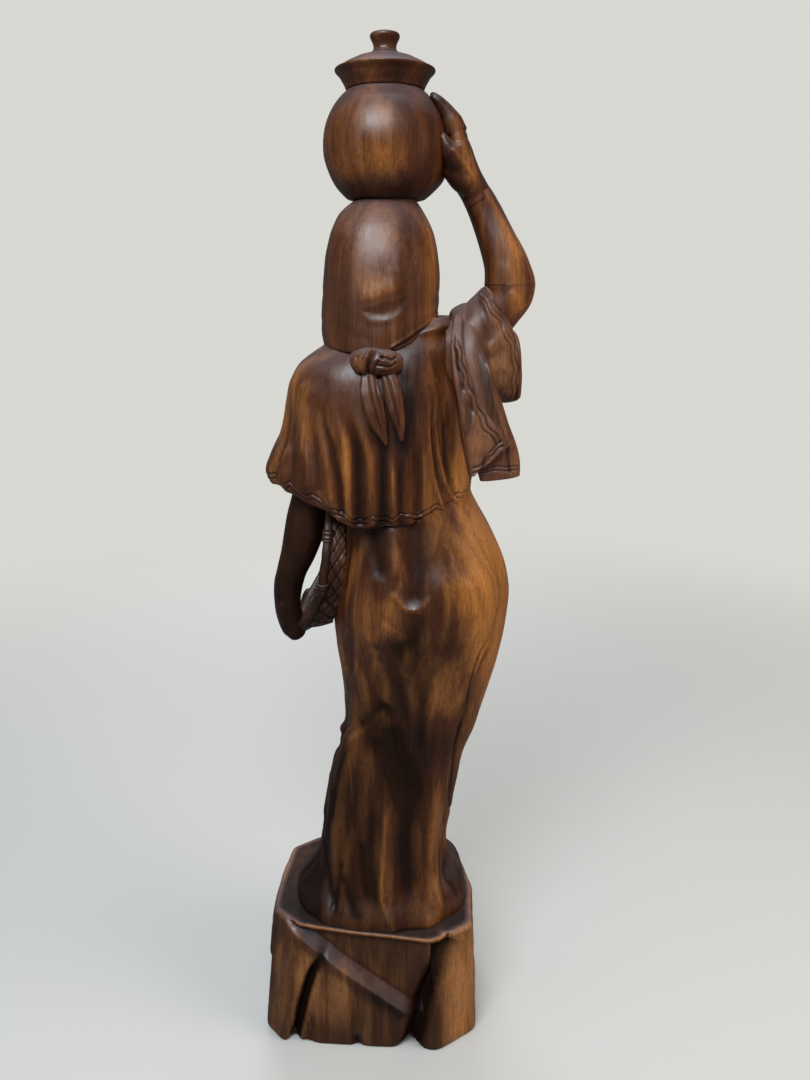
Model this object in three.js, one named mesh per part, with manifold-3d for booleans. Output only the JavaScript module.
// Carved wooden figure of a woman who steadies a lidded water pot on her head and holds a tray at her hip.
// Millimetres, +Z up. The figure faces -Y, her left side is +X, and the origin is on the floor
// under the middle of the rock that she stands on.
import * as THREE from "three";
import { mergeVertices } from "three/addons/utils/BufferGeometryUtils.js";
import Module from "manifold-3d";

const wasm = await Module();
wasm.setup();

// ---- driving dimensions -------------------------------------------------------------------------
const JOINT_GAP = 0.3; // glue line between two pieces that touch
const AROUND = 24; // points round a large carved form
const AROUND_LIMB = 12; // points round an arm, a shawl edge or a tail
const AROUND_FINGER = 8;
const AROUND_TURNED = 32; // facets round the turned pot

const ROCK_TOP = 144;
const SKIRT_TOP = 592;
const NECK_BOTTOM = 754;
const SCARF_TOP = 858;
const TOTAL_HEIGHT = 984;

const POT = { x: -21, y: 0, z: 900, radius: 52.4, wall: 5, foot: 29, neck: 32.3, mouth: 27 };
const POT_FLOOR = 871; // inside bottom of the pot
const COLLAR = { bottom: 942, top: 957.5, rim: 41.5, seat: 954.5, seatRadius: 38.6 };
const LID = { spigot: 26.4, spigotBottom: 946, flange: 38.2, top: 969.5, platform: 12.5 };
const KNOB = { waist: 9.2, waistHeight: 973, top: 12.3 };
const PEG = { radius: 5, bottom: 847, top: 866 };
const ELBOW_JOINT = 790; // height of the glue line across the raised elbow
const ELBOW_DOWEL = { radius: 4, half: 9, x: -129, y: -2 };

// Stations of the carved forms: height, reach to her left (+X), reach to her right (-X),
// depth towards the front and depth towards the back.
const SKIRT = [
  [ROCK_TOP, 80, -103, 72, 71],
  [160, 80, -102, 70, 69],
  [176, 71, -97, 66, 64],
  [192, 60, -85, 62, 60],
  [215, 56, -81, 60, 58],
  [257, 48, -86, 59, 56],
  [292, 41, -91, 60, 54],
  [326, 33, -97, 63, 51],
  [352, 25, -107, 66, 49],
  [384, 24, -116, 68, 52],
  [417, 26, -125, 67, 59],
  [452, 30, -132, 65, 68],
  [486, 31, -136, 64, 76],
  [507, 29, -137, 64, 78],
  [530, 26, -134, 65, 76],
  [560, 22, -123, 63, 68],
  [SKIRT_TOP, 19, -105, 58, 60],
];
const BLOUSE = [
  [600, 88, -98, 58, 66],
  [612, 91, -100, 60, 68],
  [630, 87, -99, 61, 69],
  [657, 76, -97, 61, 69],
  [686, 70, -94, 59, 68],
  [708, 66, -90, 55, 65],
  [724, 56, -86, 48, 60],
  [737, 38, -86, 41, 52],
  [747, 22, -85, 36, 44],
  [756, -38, -83, 31, 38],
  [763, -50, -79, 22, 30],
];
// How far the blouse's hem hangs above its first station, by reach to her left.
const BLOUSE_HEM = [
  [-100, 8],
  [-80, -2],
  [-50, -11],
  [-20, -13.5],
  [14, -13],
  [30, -3],
  [60, 10],
  [90, 17],
];
const SCARF = [
  [732, 34, -61, 30, 56],
  [748, 37, -66, 36, 57],
  [762, 37.5, -67, 40, 56],
  [780, 36, -67.5, 43, 56],
  [800, 34, -67, 45, 54],
  [820, 30.5, -64.5, 46, 50],
  [838, 25, -59, 42, 43],
  [850, 17, -52.5, 35, 35],
  [SCARF_TOP, 7, -47, 28, 28],
];
const HEAD = [
  [NECK_BOTTOM + 0.5, 2, -36, 18, 18],
  [764, 3, -37, 24, 20],
  [770, 8, -42, 44, 26],
  [782, 14, -48, 52, 32],
  [798, 18, -52, 54, 36],
  [814, 19, -53, 54, 37],
  [828, 16, -50, 50, 34],
  [840, 8, -42, 38, 26],
  [846, -6, -30, 22, 14],
];

// Stations of the swept forms: centre x, y, z, half width along the form's side, half thickness.
const RIGHT_UPPER_ARM = [
  [-96, 2, 738, 15, 14],
  [-111, 0, 752, 18, 16],
  [-122.5, -1, 768, 20, 18.5],
  [-128.5, -2, 782, 21, 21],
  [-129.5, -2, ELBOW_JOINT, 21, 22.5],
];
const RIGHT_FOREARM = [
  [-129.5, -2, ELBOW_JOINT, 21, 22.5],
  [-127, -2, 802, 20.5, 20.5],
  [-118, -2, 824, 18, 17],
  [-105.5, -2, 850, 14.5, 14],
  [-98.2, -2, 863, 14, 12.5],
];
const RIGHT_PALM = [
  [-97.4, -2, 864.4, 14, 12.5],
  [-91, -1, 874, 16, 12.5],
  [-86.5, 0, 885, 18.5, 11.5],
  [-83.5, 0, 896, 20, 10],
  [-79, 0, 907, 20, 8.5],
  [-74.5, 0, 916, 19, 7],
];
const RIGHT_HEEL = [
  [-94, 4, 868, 11, 9.5],
  [-84, 10, 875, 12.5, 10.5],
  [-76, 14, 882, 11, 9],
];
const RIGHT_THUMB = [
  [-90, 8, 874, 10, 10],
  [-82, 14, 882, 10.5, 9.5],
  [-76, 18.5, 890, 9, 8.5],
  [-71, 21.5, 898, 6.5, 6],
  [-68, 23, 904, 3.8, 3.6],
];
// Fingers on the pot: depth at the knuckle and at the tip, and degrees above the pot's middle.
const RIGHT_FINGERS = [
  [-14, -18, 10, 42],
  [-5, -6.5, 10, 44],
  [4.5, 4.5, 10, 44],
  [13.5, 15, 10, 42],
];
const FINGER_RADIUS = 6.2;
const LEFT_UPPER_ARM = [
  [48, 4, 618, 17, 16],
  [53, 4, 597, 18, 17.5],
  [57, 5, 577, 18.5, 19],
  [61, 6, 560, 18.5, 18.5],
  [66.5, 6, 542, 18, 16.5],
  [73, 7, 525, 17, 14.5],
  [78, 7, 506, 16, 13.8],
  [79, 7, 492, 15.5, 13.3],
  [77.5, 6, 478, 14, 12.5],
];
const LEFT_FOREARM = [
  [77, 13, 476, 9, 11],
  [77, 3, 467, 12, 14],
  [76.5, -14, 459, 12.5, 13.5],
  [74.5, -34, 451, 12, 12],
  [71, -50, 446, 11, 10.5],
];
const LEFT_PALM = [
  [70.5, -51.5, 445.8, 10.5, 10],
  [68, -60, 444, 12.5, 9],
  [64, -70, 445, 13.5, 8],
  [60, -79, 449, 12, 7],
];
// The first finger of the left hand, and how each of the four moves from the one before.
const LEFT_FINGER = [
  [70, -66, 447, 4.4, 4.6],
  [73, -72, 457, 4.2, 4.4],
  [68, -68, 470, 4, 4],
];
const LEFT_FINGER_STEP = [
  [-7.2, -3.5, 0],
  [-6.5, -3, 1],
  [-5.8, -1.5, 1],
];
const SHAWL = [
  [-86, -41, 652, 17, 3.5],
  [-84, -41, 690, 14, 4],
  [-83, -38, 730, 11, 4.5],
  [-85, -22, 757, 9.5, 5],
  [-86, 4, 768, 9, 5],
  [-87, 28, 760, 9.5, 5],
  [-89, 46, 740, 11, 5],
  [-98, 56, 710, 15, 4.5],
  [-108, 60, 672, 18.5, 4.5],
  [-118, 61, 640, 19, 4.5],
  [-119.5, 61, 630, 17.5, 4],
];
const SHAWL_FOLD = [
  [-80, 52, 748, 4.5, 3],
  [-83.5, 60, 722, 6.5, 3.5],
  [-92.5, 66, 690, 9.8, 3.5],
  [-103, 70, 665, 15, 3.5],
  [-109, 71, 645, 17, 3],
  [-113, 71, 628, 17, 2.5],
];
const FOLD_HEM = { height: 543, slant: 0.95 }; // the slanting lower edge of the shawl's outer layer
// Stations of the sleeve from her far right inwards: reach, bottom, top, front and back depth.
const SLEEVE = [
  [-140.5, 691, 722, 20, 24],
  [-138.5, 690, 738, 27, 32],
  [-132, 688, 753, 33, 38],
  [-121, 687, 770, 35, 41],
  [-109, 687, 788, 35, 42],
  [-98, 688, 780, 34, 43],
  [-86, 692, 768, 32, 44],
  [-72, 700, 760, 28, 40],
];
const FACE_OPENING = { half: 27, depth: 62, reach: 36, x: -17, y: -60, z: 803 };
const THROAT = { wide: 40, deep: 60, high: 60, x: -17, y: -50, z: 752 };
const KNOT = { half: 20, depth: 12, height: 11, x: -14, y: 62, z: 729 };
const SCARF_TAILS = {
  scarf_tail_left: [
    [-9, 66, 722, 4, 3],
    [-9, 70, 710, 8, 4],
    [-11, 73, 696, 9.5, 4.5],
    [-17, 74, 678, 6.5, 4],
    [-22, 73, 661, 1.6, 2],
  ],
  scarf_tail_right: [
    [-19, 66, 722, 4, 3],
    [-23, 70, 710, 8, 4],
    [-26, 73, 696, 9, 4.5],
    [-30, 74, 680, 6, 4],
    [-33, 73, 665, 1.6, 2],
  ],
};

// The tray stands on edge against the left hip and opens away from her.
const TRAY = { y: -22, wall: 4, rimRadius: 4.5, tie: 5.8 };
const TRAY_BACK = { x: 28, z: 532, halfY: 56, halfZ: 64, slope: 0.13, wrap: 8 };
const TRAY_RIM = { z: 528, halfY: 57, halfZ: 75 };
// The rim bends out towards the bottom: height and reach to her left.
const RIM_BEND = [
  [450, 71],
  [458, 70],
  [469, 65],
  [485, 55],
  [502, 45.5],
  [513, 40.5],
  [529, 36],
  [547, 32],
  [569, 29],
  [606, 26],
];
const TIE_ANGLES = { rim_tie_upper: 30, rim_tie_lower: -10 };
const TIE_HALF = 3.5; // half the angle that a tie covers
const AROUND_TRAY = 32;

const TOE = { reach: 17, half: 13, height: 12, y: -70 };
const FOOT_PLACES = { left_foot: 26, right_foot: -46 };

// The rock's outline, counter-clockwise from her left: at the floor and at the top.
const ROCK_FOOT = [
  [118, 58], [120, -8], [114, -74], [74, -95], [0, -98], [-72, -93],
  [-112, -66], [-120, 0], [-115, 63], [-74, 90], [14, 84], [98, 78],
];
const ROCK_HEAD = [
  [107, 36], [105, -14], [98, -66], [62, -86], [0, -88], [-66, -84],
  [-100, -58], [-113, 0], [-109, 60], [-66, 85], [10, 75], [80, 62],
];
const ROCK_LEVELS = [
  [0, 0, 0.975],
  [5, 0.02, 1.0],
  [60, 0.35, 1.0],
  [110, 0.7, 1.0],
  [138, 1, 0.995],
  [ROCK_TOP, 1, 0.975],
];
// Grooves cut down the back of the rock: x and height at the top and the bottom, and their width.
const ROCK_GROOVES = [
  { top: [50, 122], bottom: [73, -4], width: 11, depth: 16, y: 86 },
  { top: [-84, ROCK_TOP + 6], bottom: [-38, -4], width: 13, depth: 18, y: 94 },
];
// The upper slab between the grooves is set back: its outline seen from behind, and its face.
const ROCK_SLAB = { outline: [[70, ROCK_TOP + 6], [48, 127], [-43, 48], [-86, ROCK_TOP + 6]], y: 73 };

const WOOD = {
  dark: new THREE.MeshStandardMaterial({ color: 0x3a1c10, roughness: 0.32, metalness: 0 }),
  warm: new THREE.MeshStandardMaterial({ color: 0x6b3517, roughness: 0.34, metalness: 0 }),
  turned: new THREE.MeshStandardMaterial({ color: 0x552712, roughness: 0.28, metalness: 0 }),
  rock: new THREE.MeshStandardMaterial({ color: 0x5a3018, roughness: 0.42, metalness: 0 }),
  peg: new THREE.MeshStandardMaterial({ color: 0xb08a5a, roughness: 0.6, metalness: 0 }),
};

// ---- surfaces -----------------------------------------------------------------------------------
// A closed surface through rings with the same number of points, with a flat fan at each end.
function skin(rings) {
  const count = rings[0].length;
  const points = rings.flat();
  const faces = [];
  for (let r = 0; r < rings.length - 1; r++) {
    for (let i = 0; i < count; i++) {
      const a = r * count + i;
      const b = r * count + ((i + 1) % count);
      faces.push(a, b, b + count, a, b + count, a + count);
    }
  }
  for (const [start, turned] of [[0, true], [(rings.length - 1) * count, false]]) {
    const centre = new THREE.Vector3();
    for (let i = 0; i < count; i++) centre.addScaledVector(points[start + i], 1 / count);
    points.push(centre);
    for (let i = 0; i < count; i++) {
      const a = start + i;
      const b = start + ((i + 1) % count);
      if (turned) faces.push(points.length - 1, b, a);
      else faces.push(points.length - 1, a, b);
    }
  }
  const geometry = new THREE.BufferGeometry().setFromPoints(points);
  geometry.setIndex(faces);
  return geometry;
}

// Smooth values between stations whose first number is the place along the form.
function between(stations) {
  const places = stations.map((station) => station[0]);
  const values = stations.flatMap((station) => station.slice(1));
  return new THREE.CubicInterpolant(places, values, stations[0].length - 1);
}

// Cosine and sine bent towards a square, so that 2 is an oval and more is squarer.
function softCorner(angle, squareness) {
  const power = 2 / squareness;
  const bend = (value) => Math.sign(value) * Math.abs(value) ** power;
  return [bend(Math.cos(angle)), bend(Math.sin(angle))];
}

// A carved upright form from stations of height, left, right, front and back.
function upright(stations, { levels, squareness = 2.2, grow = 0, lift = () => 0 }) {
  const shape = between(stations);
  const first = stations[0][0];
  const last = stations[stations.length - 1][0];
  const rings = [];
  for (let level = 0; level <= levels; level++) {
    const share = level / levels;
    const height = first + (last - first) * share;
    const [left, right, front, back] = shape.evaluate(height);
    const middle = (left + right) / 2;
    const half = (left - right) / 2 + grow;
    const end = level === 0 ? -grow : level === levels ? grow : 0;
    const ring = [];
    for (let i = 0; i < AROUND; i++) {
      const [c, s] = softCorner((2 * Math.PI * i) / AROUND, squareness);
      const x = middle + half * c;
      const y = s * ((s > 0 ? back : front) + grow);
      ring.push(new THREE.Vector3(x, y, height + end + lift(x, y) * (1 - share) ** 2));
    }
    rings.push(ring);
  }
  return skin(rings);
}

// A form swept through stations of centre, half width along `side` and half thickness.
function swept(stations, { steps, side, grow = 0, around = AROUND_LIMB, squareness = 2, round = [0, 0] }) {
  const centres = new THREE.CatmullRomCurve3(stations.map(([x, y, z]) => new THREE.Vector3(x, y, z)));
  const sizes = between(stations.map(([, , , wide, thick], i) => [i, wide, thick]));
  const rings = [];
  const addRing = (t, shrink, slide) => {
    const centre = centres.getPoint(t);
    const ahead = centres.getTangent(t);
    const across = side.clone().addScaledVector(ahead, -side.dot(ahead)).normalize();
    const up = new THREE.Vector3().crossVectors(ahead, across);
    const [wide, thick] = sizes.evaluate(t * (stations.length - 1));
    centre.addScaledVector(ahead, slide);
    const ring = [];
    for (let i = 0; i < around; i++) {
      const [c, s] = softCorner((2 * Math.PI * i) / around, squareness);
      const point = centre.clone();
      point.addScaledVector(across, c * (wide + grow) * shrink);
      point.addScaledVector(up, s * (thick + grow) * shrink);
      ring.push(point);
    }
    rings.push(ring);
  };
  const tips = [
    [0.5, 0.86],
    [0.8, 0.6],
    [0.98, 0.2],
  ];
  for (const [out, shrink] of [...tips].reverse()) {
    if (round[0]) addRing(0, shrink, -out * (round[0] + grow));
  }
  for (let step = 0; step <= steps; step++) {
    const end = step === 0 && !round[0] ? -grow : step === steps && !round[1] ? grow : 0;
    addRing(step / steps, 1, end);
  }
  for (const [out, shrink] of tips) {
    if (round[1]) addRing(1, shrink, out * (round[1] + grow));
  }
  return skin(rings);
}

// A turned form: profile points of radius and height, placed on a vertical axis.
function turned(profile, x = POT.x, y = POT.y) {
  const points = profile.map(([radius, height]) => new THREE.Vector2(radius, height));
  const geometry = new THREE.LatheGeometry(points, AROUND_TURNED);
  geometry.rotateX(Math.PI / 2);
  geometry.translate(x, y, 0);
  return geometry;
}

function arc(radius, centreHeight, fromHeight, toHeight, steps) {
  const start = Math.asin((fromHeight - centreHeight) / radius);
  const stop = Math.asin((toHeight - centreHeight) / radius);
  const points = [];
  for (let i = 0; i <= steps; i++) {
    const angle = start + ((stop - start) * i) / steps;
    points.push([radius * Math.cos(angle), centreHeight + radius * Math.sin(angle)]);
  }
  return points;
}

// ---- joining and cutting ------------------------------------------------------------------------
function solid(geometry) {
  const plain = geometry.clone();
  plain.deleteAttribute("normal");
  plain.deleteAttribute("uv");
  const merged = mergeVertices(plain, 1e-4);
  const mesh = new wasm.Mesh({
    numProp: 3,
    vertProperties: new Float32Array(merged.attributes.position.array),
    triVerts: new Uint32Array(merged.index.array),
  });
  const made = new wasm.Manifold(mesh);
  if (made.volume() > 0) return made;
  const index = mesh.triVerts;
  for (let i = 0; i < index.length; i += 3) [index[i + 1], index[i + 2]] = [index[i + 2], index[i + 1]];
  const flipped = { numProp: 3, vertProperties: mesh.vertProperties, triVerts: index };
  return new wasm.Manifold(new wasm.Mesh(flipped));
}

// The largest body of a cut solid, so that slivers left by the cut fall away.
function largest(cut) {
  return cut.decompose().sort((a, b) => b.volume() - a.volume())[0];
}

function without(piece, ...neighbours) {
  return largest(neighbours.reduce((left, neighbour) => left.subtract(neighbour), piece));
}

function meshOf(name, made, material) {
  const { vertProperties, triVerts, numProp, numVert } = made.getMesh();
  const points = new Float32Array(numVert * 3);
  for (let i = 0; i < numVert; i++) points.set(vertProperties.subarray(i * numProp, i * numProp + 3), i * 3);
  const geometry = new THREE.BufferGeometry();
  geometry.setAttribute("position", new THREE.BufferAttribute(points, 3));
  geometry.setIndex(new THREE.BufferAttribute(triVerts, 1));
  geometry.computeVertexNormals();
  const mesh = new THREE.Mesh(geometry, material);
  mesh.name = name;
  return mesh;
}

function box(sizeX, sizeY, sizeZ, x, y, z) {
  return new THREE.BoxGeometry(sizeX, sizeY, sizeZ).translate(x, y, z);
}

function uprightPeg(radius, bottom, top, x, y) {
  const geometry = new THREE.CylinderGeometry(radius, radius, top - bottom, 20);
  return geometry.rotateX(Math.PI / 2).translate(x, y, (bottom + top) / 2);
}

// ---- the rock -----------------------------------------------------------------------------------
function rockBase() {
  const rings = ROCK_LEVELS.map(([height, share, scale]) =>
    ROCK_FOOT.map(([x, y], i) => {
      const [topX, topY] = ROCK_HEAD[i];
      return new THREE.Vector3((x + (topX - x) * share) * scale, (y + (topY - y) * share) * scale, height);
    }),
  );
  let rock = solid(skin(rings));
  for (const { top, bottom, width, depth, y } of ROCK_GROOVES) {
    const length = Math.hypot(top[0] - bottom[0], top[1] - bottom[1]);
    const groove = box(width, 2 * depth, length, 0, 0, 0);
    groove.rotateY(Math.atan2(top[0] - bottom[0], top[1] - bottom[1]));
    groove.translate((top[0] + bottom[0]) / 2, y, (top[1] + bottom[1]) / 2);
    rock = rock.subtract(solid(groove));
  }
  const slab = new THREE.Shape(ROCK_SLAB.outline.map(([x, z]) => new THREE.Vector2(x, z)));
  const cut = new THREE.ExtrudeGeometry(slab, { depth: 40, bevelEnabled: false });
  cut.rotateX(Math.PI / 2).translate(0, ROCK_SLAB.y + 40, 0);
  return largest(rock.subtract(solid(cut)));
}

// ---- the clothed body ---------------------------------------------------------------------------
function skirt(grow = 0) {
  const bottom = ROCK_TOP + JOINT_GAP;
  const slab = box(400, 400, SKIRT_TOP - bottom + 2 * grow, 0, 0, (SKIRT_TOP + bottom) / 2);
  return solid(upright(SKIRT, { levels: 22, grow })).intersect(solid(slab));
}

function foot(x) {
  const shape = new THREE.SphereGeometry(1, 16, 12).rotateX(Math.PI / 2);
  shape.scale(TOE.half, TOE.reach, TOE.height).translate(x, TOE.y, ROCK_TOP + JOINT_GAP);
  const aboveRock = box(60, 80, 40, x, TOE.y, ROCK_TOP + JOINT_GAP + 20);
  return without(solid(shape).intersect(solid(aboveRock)), skirt(JOINT_GAP));
}

function hemLift() {
  const hem = between(BLOUSE_HEM);
  return (x) => hem.evaluate(Math.max(-100, Math.min(90, x)))[0];
}

function blouse(grow = 0) {
  return solid(upright(BLOUSE, { levels: 16, squareness: 2.3, grow, lift: hemLift() }));
}

function rightSleeve(grow = 0) {
  const shape = between(SLEEVE);
  const levels = 14;
  const first = SLEEVE[0][0];
  const last = SLEEVE[SLEEVE.length - 1][0];
  const rings = [];
  for (let level = 0; level <= levels; level++) {
    const reach = first + ((last - first) * level) / levels;
    const [bottom, top, front, back] = shape.evaluate(reach);
    const end = level === 0 ? -grow : level === levels ? grow : 0;
    const ring = [];
    for (let i = 0; i < AROUND; i++) {
      const [c, s] = softCorner((2 * Math.PI * i) / AROUND, 2.7);
      const y = c * ((c > 0 ? back : front) + grow);
      ring.push(new THREE.Vector3(reach + end, y, (bottom + top) / 2 + s * ((top - bottom) / 2 + grow)));
    }
    rings.push(ring);
  }
  return solid(skin(rings));
}

// ---- head, scarf and shawl ----------------------------------------------------------------------
function head(grow = 0) {
  return solid(upright(HEAD, { levels: 16, squareness: 2.1, grow }));
}

// The scarf's lower edge rises towards her right shoulder.
function scarfEdge(x) {
  return Math.max(0, (-x - 10) * 0.34);
}

function headscarf(grow = 0) {
  const hood = solid(upright(SCARF, { levels: 14, grow, lift: scarfEdge }));
  const { half, depth, reach, x, y, z } = FACE_OPENING;
  const opening = new THREE.SphereGeometry(1, 24, 16).scale(half, depth, reach).translate(x, y, z);
  const throat = box(THROAT.wide, THROAT.deep, THROAT.high, THROAT.x, THROAT.y, THROAT.z);
  return without(hood, solid(opening), solid(throat));
}

function scarfKnot(grow = 0) {
  const shape = new THREE.SphereGeometry(1, 18, 10).rotateX(Math.PI / 2);
  shape.scale(KNOT.half + grow, KNOT.depth + grow, KNOT.height + grow);
  return solid(shape.translate(KNOT.x, KNOT.y, KNOT.z));
}

const ACROSS_BACK = new THREE.Vector3(1, 0, 0);
const SHAWL_SIDE = new THREE.Vector3(1, 0, -0.5); // it slopes with the shoulder
const ALONG_DEPTH = new THREE.Vector3(0, 1, 0);

function scarfTail(name, grow = 0) {
  return solid(swept(SCARF_TAILS[name], { steps: 10, side: ACROSS_BACK, grow, squareness: 2.6 }));
}

function shawl(grow = 0) {
  return solid(swept(SHAWL, { steps: 18, side: SHAWL_SIDE, grow, squareness: 3 }));
}

function shawlFold(grow = 0) {
  const whole = solid(swept(SHAWL_FOLD, { steps: 12, side: ACROSS_BACK, grow, squareness: 4 }));
  const length = Math.hypot(FOLD_HEM.slant, 1);
  return whole.trimByPlane([FOLD_HEM.slant, 0, 1], FOLD_HEM.height / length - grow);
}

// ---- arms and hands -----------------------------------------------------------------------------
function rightUpperArm(grow = 0) {
  const shape = swept(RIGHT_UPPER_ARM, { steps: 8, side: ALONG_DEPTH, grow });
  const below = box(200, 200, 200, -110, 0, ELBOW_JOINT - JOINT_GAP / 2 - 100 + grow);
  return solid(shape).intersect(solid(below));
}

function rightForearm(grow = 0) {
  const shape = swept(RIGHT_FOREARM, { steps: 10, side: ALONG_DEPTH, grow });
  const above = box(200, 200, 200, -110, 0, ELBOW_JOINT + JOINT_GAP / 2 + 100 - grow);
  return solid(shape).intersect(solid(above));
}

// A finger that lies on the pot, from a knuckle angle to a tip angle above the pot's middle.
function fingerOnPot([depthFrom, depthTo, lowAngle, highAngle]) {
  const stations = [];
  const joints = 4;
  for (let i = 0; i <= joints; i++) {
    const share = i / joints;
    const rise = THREE.MathUtils.degToRad(lowAngle + (highAngle - lowAngle) * share);
    const depth = depthFrom + (depthTo - depthFrom) * share;
    const reach = Math.sqrt((POT.radius + FINGER_RADIUS * 0.6) ** 2 - depth ** 2);
    const girth = FINGER_RADIUS * (1 - 0.18 * share);
    stations.push([POT.x - reach * Math.cos(rise), depth, POT.z + reach * Math.sin(rise), girth, girth]);
  }
  return solid(swept(stations, { steps: 7, side: ALONG_DEPTH, around: AROUND_FINGER, round: [2, 4] }));
}

function rightHand() {
  const form = (stations, steps, round) =>
    solid(swept(stations, { steps, side: ALONG_DEPTH, squareness: 2.4, round }));
  let hand = form(RIGHT_PALM, 8, [0, 3]).add(form(RIGHT_HEEL, 4, [4, 4])).add(form(RIGHT_THUMB, 7, [3, 4]));
  for (const finger of RIGHT_FINGERS) hand = hand.add(fingerOnPot(finger));
  return without(hand, potOutside(3 * JOINT_GAP), collarOutside(3 * JOINT_GAP), rightForearm(JOINT_GAP));
}

function leftUpperArm(grow = 0) {
  return solid(swept(LEFT_UPPER_ARM, { steps: 10, side: ALONG_DEPTH, grow }));
}

function leftForearm(grow = 0) {
  return solid(swept(LEFT_FOREARM, { steps: 9, side: ACROSS_BACK, grow, round: [8, 0] }));
}

// ---- the tray at the hip ------------------------------------------------------------------------
function rimPoint(angle, scale = 1, out = 0) {
  const z = TRAY_RIM.z + TRAY_RIM.halfZ * scale * Math.sin(angle);
  const x = between(RIM_BEND).evaluate(z)[0] + out;
  return new THREE.Vector3(x, TRAY.y + TRAY_RIM.halfY * scale * Math.cos(angle), z);
}

// The tray's back leans with the hip and bends a little way round it.
function backPoint(angle, scale = 1, out = 0) {
  const { x, z, halfY, halfZ, slope, wrap } = TRAY_BACK;
  const rise = halfZ * scale * Math.sin(angle);
  const bent = (wrap + 0.1 * Math.max(0, -rise)) * scale ** 4 * Math.cos(angle) ** 4;
  return new THREE.Vector3(x - slope * rise + out - bent, TRAY.y + halfY * scale * Math.cos(angle), z + rise);
}

function trayRing(pointAt) {
  const ring = [];
  for (let i = 0; i < AROUND_TRAY; i++) ring.push(pointAt((2 * Math.PI * i) / AROUND_TRAY));
  return ring;
}

function tray() {
  const inner = 1 - TRAY.wall / TRAY_BACK.halfY;
  const back = (scale, out) => trayRing((angle) => backPoint(angle, scale, out));
  const rim = (scale, out) => trayRing((angle) => rimPoint(angle, scale, out));
  const half = (scale) => trayRing((angle) => backPoint(angle, scale).lerp(rimPoint(angle, scale), 0.5));
  const outside = skin([back(0.4, 0), back(0.7, 0), back(0.87, 0), back(1, 0), half(1.02), rim(1, 0)]);
  const inside = skin([
    back(0.4, TRAY.wall),
    back(0.7, TRAY.wall),
    back(inner - 0.02, TRAY.wall),
    half(1.02 * inner),
    rim(inner, 0),
    rim(inner, 20),
  ]);
  return solid(outside).subtract(solid(inside));
}

function rimBand(fromAngle, toAngle, radius, grow, closed) {
  const steps = Math.max(6, Math.round((toAngle - fromAngle) / 9));
  const points = [];
  for (let i = 0; i <= steps - (closed ? 1 : 0); i++) {
    const angle = THREE.MathUtils.degToRad(fromAngle + ((toAngle - fromAngle) * i) / steps);
    points.push(rimPoint(angle));
  }
  const path = new THREE.CatmullRomCurve3(points, closed);
  const circle = new THREE.EllipseCurve(0, 0, radius + grow, radius + grow, 0, 2 * Math.PI);
  const section = new THREE.Shape(circle.getPoints(10).slice(0, -1));
  const along = closed ? 48 : steps;
  return solid(new THREE.ExtrudeGeometry(section, { extrudePath: path, steps: along, bevelEnabled: false }));
}

function trayRim(grow = 0) {
  return rimBand(0, 360, TRAY.rimRadius, grow, true);
}

function rimTie(name, grow = 0) {
  const angle = TIE_ANGLES[name];
  return rimBand(angle - TIE_HALF, angle + TIE_HALF, TRAY.tie, grow, false);
}

function leftHand() {
  let hand = solid(swept(LEFT_PALM, { steps: 6, side: ACROSS_BACK, squareness: 2.5, round: [0, 5] }));
  for (let i = 0; i < 4; i++) {
    const stations = LEFT_FINGER.map(([x, y, z, wide, thick], joint) => {
      const [dx, dy, dz] = LEFT_FINGER_STEP[joint];
      return [x + i * dx, y + i * dy, z + i * dz, wide, thick];
    });
    const shape = { steps: 5, side: ALONG_DEPTH, around: AROUND_FINGER, round: [2, 4] };
    hand = hand.add(solid(swept(stations, shape)));
  }
  return hand;
}

// ---- the pot ------------------------------------------------------------------------------------
function potOutside(grow = 0) {
  const radius = POT.radius + grow;
  const ball = arc(radius, POT.z, POT.z - radius, POT.z + radius, 14);
  return solid(turned([[0, POT.z - radius], ...ball, [0, POT.z + radius]]));
}

function collarOutside(grow) {
  return solid(
    turned([
      [0, POT.z],
      [POT.neck + grow, POT.z],
      [POT.neck + grow, COLLAR.bottom],
      [COLLAR.rim + grow, COLLAR.top - 5.5],
      [COLLAR.rim + grow, COLLAR.top],
      [0, COLLAR.top],
    ]),
  );
}

function potBody() {
  const bottom = SCARF_TOP + JOINT_GAP;
  const shoulder = POT.z + Math.sqrt(POT.radius ** 2 - POT.neck ** 2);
  const inside = POT.radius - POT.wall;
  const mouthHeight = POT.z + Math.sqrt(inside ** 2 - POT.mouth ** 2);
  const pegHole = PEG.radius + JOINT_GAP;
  const footHeight = bottom + 0.8;
  return solid(
    turned([
      [0, PEG.top + JOINT_GAP],
      [pegHole, PEG.top + JOINT_GAP],
      [pegHole, bottom],
      [POT.foot, bottom],
      ...arc(POT.radius, POT.z, footHeight, shoulder, 10),
      [POT.neck, COLLAR.bottom - JOINT_GAP],
      [POT.mouth, COLLAR.bottom - JOINT_GAP],
      ...arc(inside, POT.z, mouthHeight, POT_FLOOR, 7),
      [0, POT_FLOOR],
    ]),
  );
}

function potCollar() {
  const { bottom, top, rim, seat, seatRadius } = COLLAR;
  return solid(
    turned([
      [POT.mouth, bottom],
      [POT.neck, bottom],
      [POT.neck + 1.5, bottom + 3.5],
      [rim - 4, top - 5.5],
      [rim, top - 2],
      [rim, top],
      [seatRadius, top],
      [seatRadius, seat],
      [POT.mouth, seat],
      [POT.mouth, bottom],
    ]),
  );
}

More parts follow.
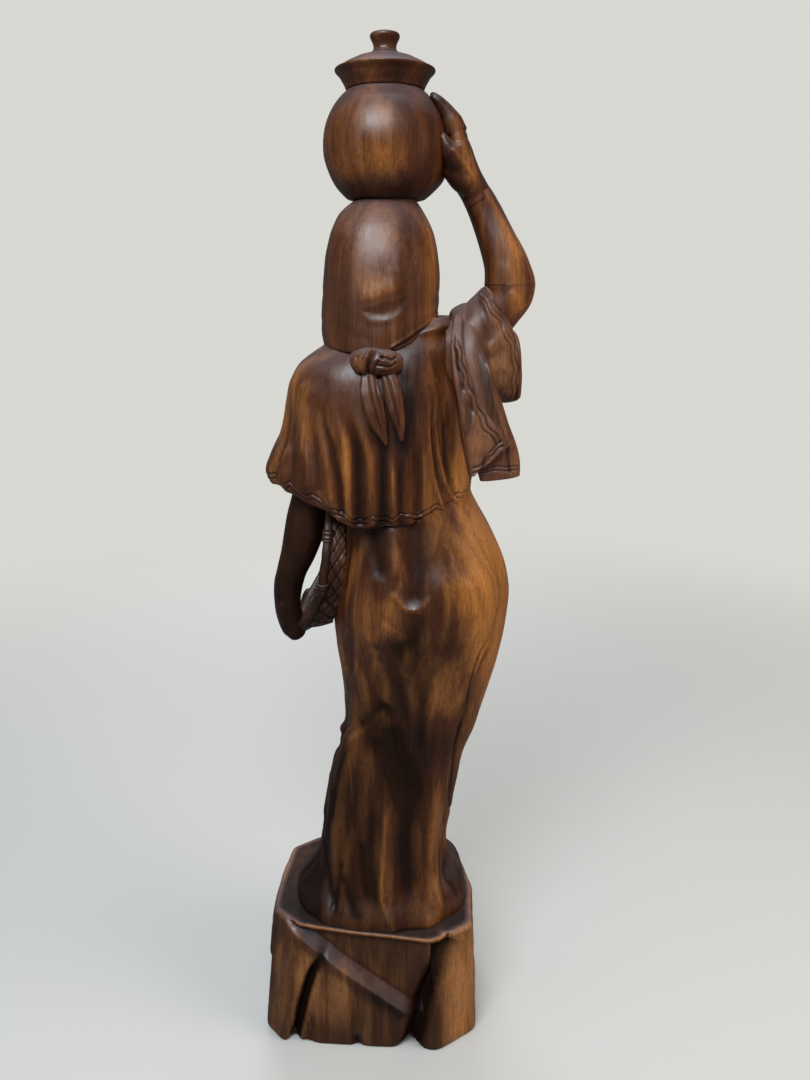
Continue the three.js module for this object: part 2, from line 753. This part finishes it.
function potLid() {
  const { spigot, spigotBottom, flange, top, platform } = LID;
  const seat = COLLAR.seat + JOINT_GAP;
  return solid(
    turned([
      [0, spigotBottom],
      [spigot, spigotBottom],
      [spigot, seat],
      [flange, seat],
      [flange, seat + 3],
      [flange - 5, seat + 6.5],
      [flange - 14, seat + 10.5],
      [platform + 2, top - 1.2],
      [platform, top],
      [0, top],
    ]),
  );
}

function lidKnob() {
  const bottom = LID.top + JOINT_GAP;
  return solid(
    turned([
      [0, bottom],
      [LID.platform - 0.5, bottom],
      [KNOB.waist + 1, bottom + 2],
      [KNOB.waist, KNOB.waistHeight],
      [KNOB.waist + 0.6, KNOB.waistHeight + 3],
      [KNOB.top, TOTAL_HEIGHT - 3],
      [KNOB.top, TOTAL_HEIGHT - 1.2],
      [KNOB.top - 2, TOTAL_HEIGHT],
      [0, TOTAL_HEIGHT],
    ]),
  );
}

// ---- the assembly -------------------------------------------------------------------------------
const figure = new THREE.Group();
const add = (name, made, material) => figure.add(meshOf(name, made, material));

add("rock_base", rockBase(), WOOD.rock);
add("skirt", without(skirt(), blouse(JOINT_GAP)), WOOD.warm);
for (const [name, x] of Object.entries(FOOT_PLACES)) add(name, foot(x), WOOD.dark);

const elbowHole = solid(
  uprightPeg(
    ELBOW_DOWEL.radius + JOINT_GAP,
    ELBOW_JOINT - ELBOW_DOWEL.half - JOINT_GAP,
    ELBOW_JOINT + ELBOW_DOWEL.half + JOINT_GAP,
    ELBOW_DOWEL.x,
    ELBOW_DOWEL.y,
  ),
);
const elbowDowel = uprightPeg(
  ELBOW_DOWEL.radius,
  ELBOW_JOINT - ELBOW_DOWEL.half,
  ELBOW_JOINT + ELBOW_DOWEL.half,
  ELBOW_DOWEL.x,
  ELBOW_DOWEL.y,
);
add("right_upper_arm", without(rightUpperArm(), elbowHole), WOOD.dark);
add("right_forearm", without(rightForearm(), elbowHole), WOOD.dark);
add("elbow_dowel", solid(elbowDowel), WOOD.peg);
add("right_hand", rightHand(), WOOD.dark);

add("left_upper_arm", without(leftUpperArm(), blouse(JOINT_GAP), leftForearm(JOINT_GAP)), WOOD.dark);
add("left_forearm", leftForearm(), WOOD.dark);

add("blouse", blouse(), WOOD.warm);
const sleeve = without(rightSleeve(), blouse(JOINT_GAP), rightUpperArm(JOINT_GAP), rightForearm(JOINT_GAP));
add("right_sleeve", sleeve, WOOD.warm);

add("head", without(head(), blouse(JOINT_GAP)), WOOD.dark);
const pegHole = solid(uprightPeg(PEG.radius + JOINT_GAP, PEG.bottom - JOINT_GAP, PEG.top, POT.x, POT.y));
const hood = without(headscarf(), head(JOINT_GAP), blouse(JOINT_GAP), rightSleeve(JOINT_GAP), pegHole);
add("headscarf", hood, WOOD.dark);
add("pot_peg", solid(uprightPeg(PEG.radius, PEG.bottom, PEG.top, POT.x, POT.y)), WOOD.peg);
add("scarf_knot", without(scarfKnot(), headscarf(JOINT_GAP), blouse(JOINT_GAP)), WOOD.dark);
const leftTail = without(scarfTail("scarf_tail_left"), blouse(JOINT_GAP), scarfKnot(JOINT_GAP));
add("scarf_tail_left", leftTail, WOOD.dark);
const rightTail = without(
  scarfTail("scarf_tail_right"),
  blouse(JOINT_GAP),
  scarfKnot(JOINT_GAP),
  scarfTail("scarf_tail_left", JOINT_GAP),
);
add("scarf_tail_right", rightTail, WOOD.dark);

add("shawl", without(shawl(), blouse(JOINT_GAP), rightSleeve(JOINT_GAP), headscarf(JOINT_GAP)), WOOD.warm);
const fold = without(shawlFold(), shawl(JOINT_GAP), blouse(JOINT_GAP), rightSleeve(JOINT_GAP));
add("shawl_fold", fold, WOOD.warm);

const ties = Object.keys(TIE_ANGLES);
const trayNeighbours = [skirt(JOINT_GAP), blouse(JOINT_GAP), leftUpperArm(JOINT_GAP), leftForearm(JOINT_GAP)];
const rim = without(trayRim(), ...trayNeighbours);
const grownTies = ties.map((name) => rimTie(name, JOINT_GAP));
add("tray_basket", without(tray(), trayRim(JOINT_GAP), ...grownTies, ...trayNeighbours), WOOD.warm);
add("tray_rim", rim, WOOD.warm);
for (const name of ties) add(name, without(rimTie(name), trayRim(JOINT_GAP)), WOOD.warm);
add("left_hand", without(leftHand(), leftForearm(JOINT_GAP), tray(), trayRim(JOINT_GAP)), WOOD.dark);

add("pot_body", potBody(), WOOD.turned);
add("pot_collar", potCollar(), WOOD.turned);
add("pot_lid", potLid(), WOOD.turned);
add("lid_knob", lidKnob(), WOOD.turned);

export default figure;
